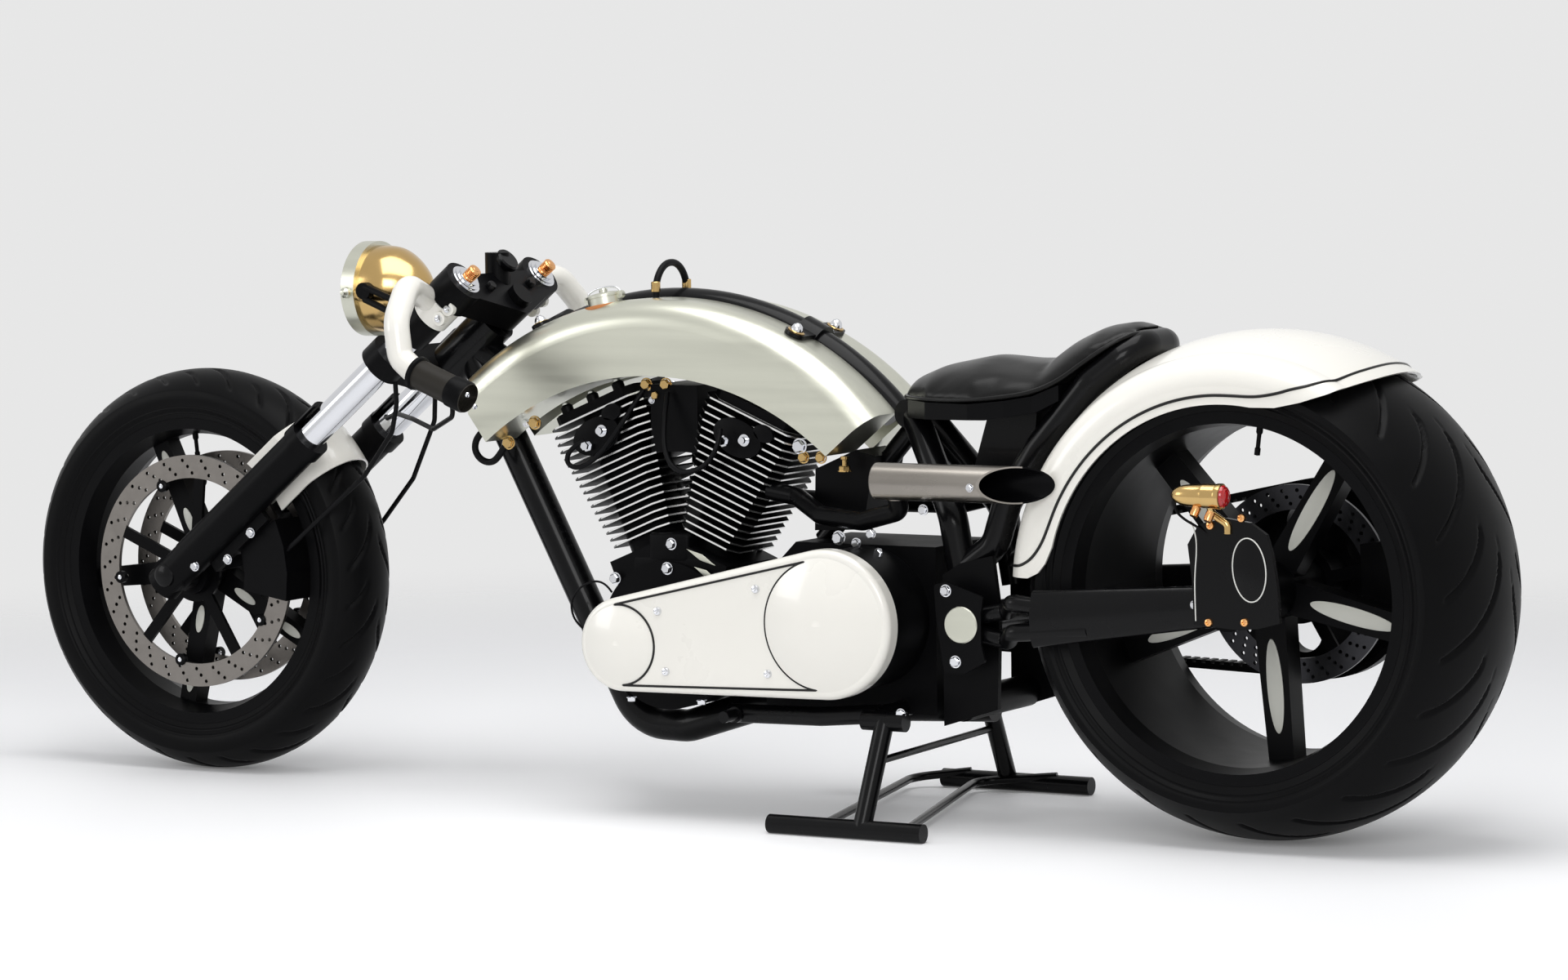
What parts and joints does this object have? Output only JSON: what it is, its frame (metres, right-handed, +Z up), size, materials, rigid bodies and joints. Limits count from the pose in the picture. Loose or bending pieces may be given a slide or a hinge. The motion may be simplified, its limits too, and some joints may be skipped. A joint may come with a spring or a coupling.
{
  "type": "chopper motorcycle",
  "caption": "Long low custom motorcycle with a raked fork, twin-cylinder engine, wide rear tyre and turning wheels, parked on a tubular stand.",
  "frame": {"origin": "floor point below the middle of the bounding box", "axes": "+X forward, +Y to the rider's left, +Z up"},
  "size_m": [2.358, 0.5518, 0.786],
  "materials": {
    "tyre_rubber": "matte",
    "black_alloy": "satin",
    "engine_black": "wrinkle",
    "frame_black": "gloss",
    "cream_paint": "gloss",
    "steel_disc": "drilled",
    "bright_steel": "satin",
    "raw_metal": "satin",
    "chrome": "polished",
    "brass_trim": "satin",
    "seat_leather": "satin",
    "belt_rubber": "matte",
    "grip_rubber": "matte",
    "lamp_glass": "clear"
  },
  "bodies": {
    "frame": {"cylinder_front": "engine_black", "cylinder_rear": "engine_black", "crankcase": "engine_black", "primary_cover": "cream_paint", "primary_case": "engine_black", "gearbox": "engine_black", "spine_tube": "frame_black", "down_tube": "frame_black", "rear_frame": "frame_black", "pivot_plates": "frame_black", "swingarm": "frame_black", "axle_plates": "black_alloy", "rear_axle": "bright_steel", "front_pulley": "black_alloy", "drive_belt": "belt_rubber", "rear_caliper": "black_alloy", "tank_left": "raw_metal", "tank_right": "raw_metal", "filler_cap": "bright_steel", "rear_fender": "cream_paint", "seat": "seat_leather", "seat_pan": "frame_black", "oil_tank": "frame_black", "exhaust_left": "bright_steel", "exhaust_right": "bright_steel", "tail_light": "brass_trim", "foot_controls": "frame_black", "stand": "frame_black", "breather_hose": "belt_rubber", "tank_clamps": "frame_black", "ignition_box": "frame_black", "air_cleaner": "engine_black"},
    "steering": {"fork_tubes": "chrome", "fork_legs": "black_alloy", "triple_clamps": "black_alloy", "fork_caps": "brass_trim", "handlebars": "cream_paint", "grips": "grip_rubber", "headlight": "brass_trim", "headlight_rim": "raw_metal", "headlight_lens": "lamp_glass", "headlight_bracket": "frame_black", "front_fender": "cream_paint", "front_calipers": "black_alloy", "front_axle": "bright_steel", "brake_lines": "belt_rubber"},
    "front_wheel": {"front_tyre": "tyre_rubber", "front_rim": "black_alloy", "front_discs": "steel_disc"},
    "rear_wheel": {"rear_tyre": "tyre_rubber", "rear_rim": "black_alloy", "rear_disc": "steel_disc", "rear_pulley": "black_alloy"}
  },
  "joints": [
    {"name": "steering_turn", "type": "hinge", "parent": "frame", "child": "steering", "pos_m": [0.40859, 0, 0.64482], "axis": [-0.766, 0, 0.6428], "range_deg": [-25, 25]},
    {"name": "front_wheel_spin", "type": "hinge", "parent": "steering", "child": "front_wheel", "pos_m": [0.88115, 0, 0.2979], "axis": [0, 1, 0], "continuous": true},
    {"name": "rear_wheel_spin", "type": "hinge", "parent": "frame", "child": "rear_wheel", "pos_m": [-0.84585, 0, 0.3332], "axis": [0, 1, 0], "continuous": true}
  ]
}
